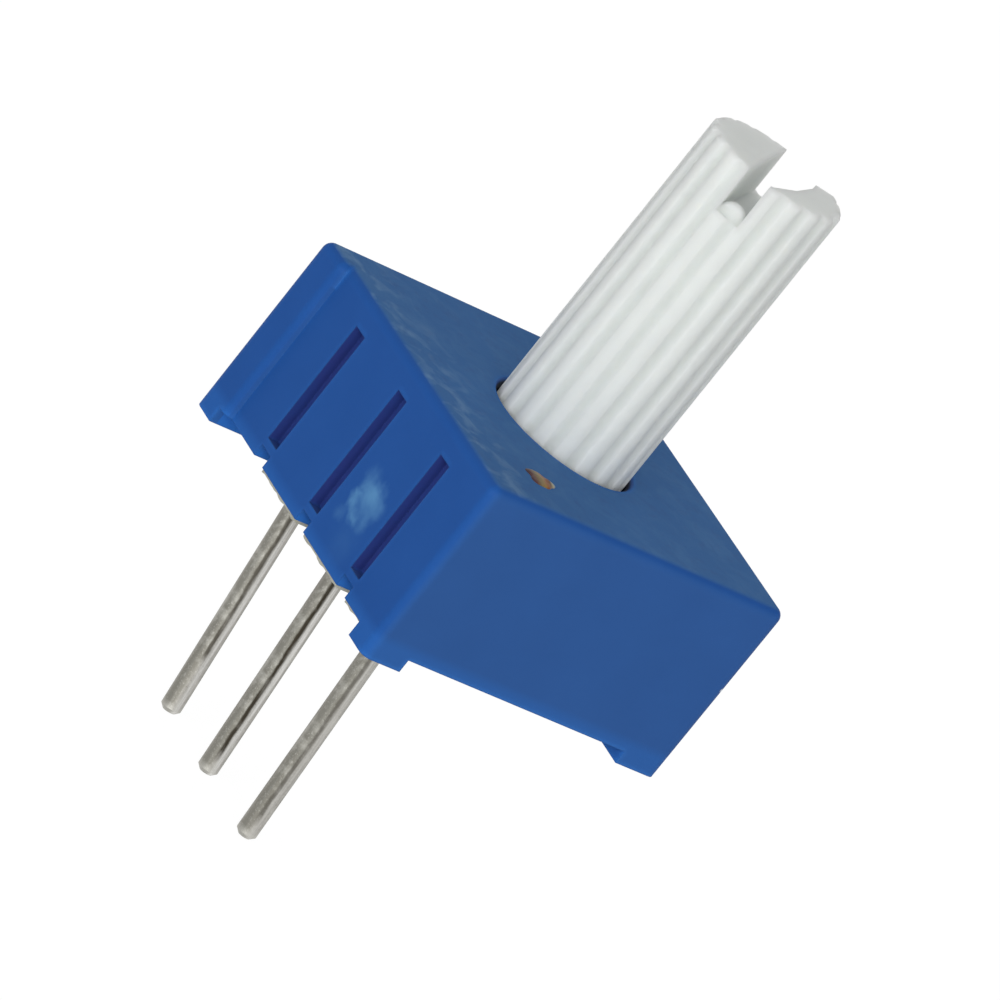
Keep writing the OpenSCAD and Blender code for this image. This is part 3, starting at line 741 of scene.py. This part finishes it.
# A white paper sweep as the floor, and a white room that lights the shadows.
stageLook = {
    "floorZ": -5.85,  # mm, just under the tips of the leads
    "floorSize": 1200,  # mm
    "floorColor": "#fbfbfb",
    "shadowShare": 0.12,  # how much of the floor's real shading shows
    "glow": 1.07,  # brings floor and share together to white
    "worldStrength": 0.44,
}


def seenDirectly(tree):
    # 1 for the camera's own rays and for what metal or glass shows of the background
    rays = addNode(tree, "ShaderNodeLightPath")
    seen = rays.outputs["Is Camera Ray"]
    for kind in ("Is Glossy Ray", "Is Transmission Ray"):
        seen = addNode(tree, "ShaderNodeMath", {"operation": "MAXIMUM"}, {
            0: seen, 1: rays.outputs[kind]}).outputs[0]
    return seen


def makeFloor(look):
    mesh = bpy.data.meshes.new("floor")
    floor = bpy.data.objects.new("floor", mesh)
    bpy.context.scene.collection.objects.link(floor)
    shape = bmesh.new()
    bmesh.ops.create_grid(shape, x_segments=1, y_segments=1, size=look["floorSize"] * mm / 2)
    bmesh.ops.translate(shape, verts=shape.verts, vec=(0, 0, look["floorZ"] * mm))
    shape.to_mesh(mesh)
    shape.free()
    material = bpy.data.materials.new("paperSweep")
    material.use_nodes = True
    tree = material.node_tree
    tree.nodes.clear()
    paper = addNode(tree, "ShaderNodeBsdfDiffuse", inputs={
        "Color": linearColor(look["floorColor"])})
    glow = addNode(tree, "ShaderNodeEmission", inputs={
        "Color": (1, 1, 1, 1), "Strength": look["glow"]})
    share = addNode(tree, "ShaderNodeMath", {"operation": "MULTIPLY"}, {
        0: seenDirectly(tree), 1: 1 - look["shadowShare"]})
    surface = addNode(tree, "ShaderNodeMixShader", inputs={
        0: share.outputs[0], 1: paper.outputs[0], 2: glow.outputs[0]})
    addNode(tree, "ShaderNodeOutputMaterial", inputs={"Surface": surface.outputs[0]})
    mesh.materials.append(material)


def makeWorld(look):
    world = bpy.data.worlds.new("softRoom")
    bpy.context.scene.world = world
    world.use_nodes = True
    tree = world.node_tree
    tree.nodes.clear()
    seen = addNode(tree, "ShaderNodeBackground", inputs={"Color": (1, 1, 1, 1), "Strength": 1.0})
    room = addNode(tree, "ShaderNodeBackground", inputs={
        "Color": (1, 1, 1, 1), "Strength": look["worldStrength"]})
    mixed = addNode(tree, "ShaderNodeMixShader", inputs={
        0: seenDirectly(tree), 1: room.outputs[0], 2: seen.outputs[0]})
    addNode(tree, "ShaderNodeOutputWorld", inputs={"Surface": mixed.outputs[0]})


# Soft boxes: place and size in mm, power in watts.
softBoxes = {
    "keyBox": {"place": (-130, -205, 75), "size": 150, "power": 0.205, "gloss": True},
    "fillBox": {"place": (-225, -110, 60), "size": 150, "power": 0.2, "gloss": True},
    "backBox": {"place": (150, 180, 90), "size": 150, "power": 0.14, "gloss": False},
}


def makeLights(boxes):
    for name, box in boxes.items():
        lamp = bpy.data.lights.new(name, "AREA")
        lamp.shape = "DISK"
        lamp.size = box["size"] * mm
        lamp.energy = box["power"]
        light = bpy.data.objects.new(name, lamp)
        bpy.context.scene.collection.objects.link(light)
        light.location = Vector(box["place"]) * mm
        light.visible_glossy = box["gloss"]  # the back box only lifts the far sides
        light.rotation_euler = (-light.location).to_track_quat("-Z", "Y").to_euler()


# A long lens from the lead side, rolled so that the shaft leans to the right.
cameraView = {
    "place": (-145.34, -158.75, 69.01),  # mm
    "aim": (-0.286, -0.004, 2.862),  # mm
    "roll": 38.778,  # degrees
    "lens": 360,  # mm
    "sensor": 36,  # mm
}


def makeCamera(view):
    camera = bpy.data.objects.new("camera", bpy.data.cameras.new("camera"))
    bpy.context.scene.collection.objects.link(camera)
    camera.data.lens = view["lens"]
    camera.data.sensor_width = view["sensor"]
    camera.data.clip_start = 0.01
    camera.data.clip_end = 10
    place = Vector(view["place"]) * mm
    toward = Vector(view["aim"]) * mm - place
    level = toward.to_track_quat("-Z", "Y").to_matrix()
    roll = Matrix.Rotation(math.radians(view["roll"]), 3, "Z")
    camera.matrix_world = Matrix.Translation(place) @ (level @ roll).to_4x4()
    bpy.context.scene.camera = camera


makeFloor(stageLook)
makeWorld(stageLook)
makeLights(softBoxes)
makeCamera(cameraView)
bpy.context.scene.view_settings.view_transform = "Standard"
print("stage, lights and camera made")
